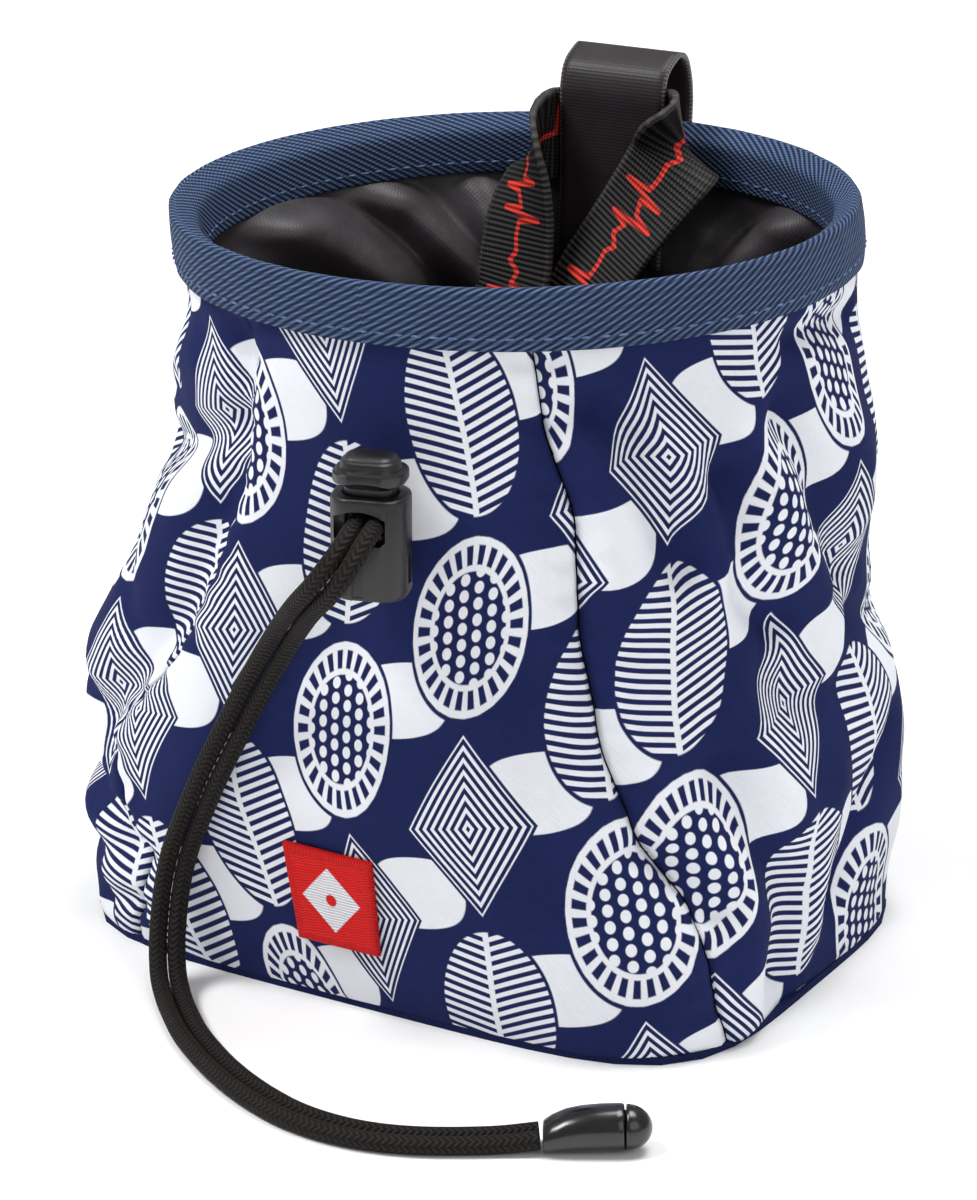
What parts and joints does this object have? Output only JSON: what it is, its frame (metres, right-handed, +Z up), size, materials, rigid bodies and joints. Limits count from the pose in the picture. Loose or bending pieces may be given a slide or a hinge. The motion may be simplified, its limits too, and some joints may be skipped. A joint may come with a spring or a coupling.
{
  "type": "climbing chalk bag",
  "caption": "Soft cloth bucket with a round stiffened rim, nylon lining, belt loop and waist belt at the back, and a drawcord with a sprung cord lock at the front.",
  "frame": {"origin": "on the floor under the middle of the rim, level with the underside of the base", "axes": "+Z up from the floor to the rim; -Y out of the front panel, towards the cord lock; +X to the right of the front panel as seen from in front"},
  "size_m": [0.1638, 0.194, 0.1693],
  "materials": {
    "printed_cloth": "fine diagonal twill with a white print",
    "base_cloth": "plain weave",
    "lining_nylon": "smooth coated nylon",
    "binding_tape": "diagonal twill tape",
    "loop_tape": "satin tape",
    "belt_weave": "ribbed webbing",
    "patch_thread": "embroidery",
    "cord_braid": "fine braid",
    "lock_plastic": "semi-matte",
    "end_plastic": "gloss"
  },
  "bodies": {
    "bag": {"front_panel": "printed_cloth", "wrap_panel": "printed_cloth", "base_panel": "base_cloth", "lining": "lining_nylon", "rim_binding": "binding_tape", "belt_loop": "loop_tape", "belt_webbing": "belt_weave", "belt_clasp": "lock_plastic", "logo_patch": "patch_thread", "lock_barrel": "lock_plastic", "cord_left": "cord_braid", "cord_right": "cord_braid", "cord_end_body": "end_plastic", "cord_end_cap": "end_plastic"},
    "plunger": {"lock_plunger": "lock_plastic"}
  },
  "joints": [
    {"name": "plunger_press", "type": "slide", "parent": "bag", "child": "plunger", "axis": [0, 0, -1], "range_m": [0, 0.002], "stiffness_N_per_m": 400, "springref_m": -0.003}
  ]
}
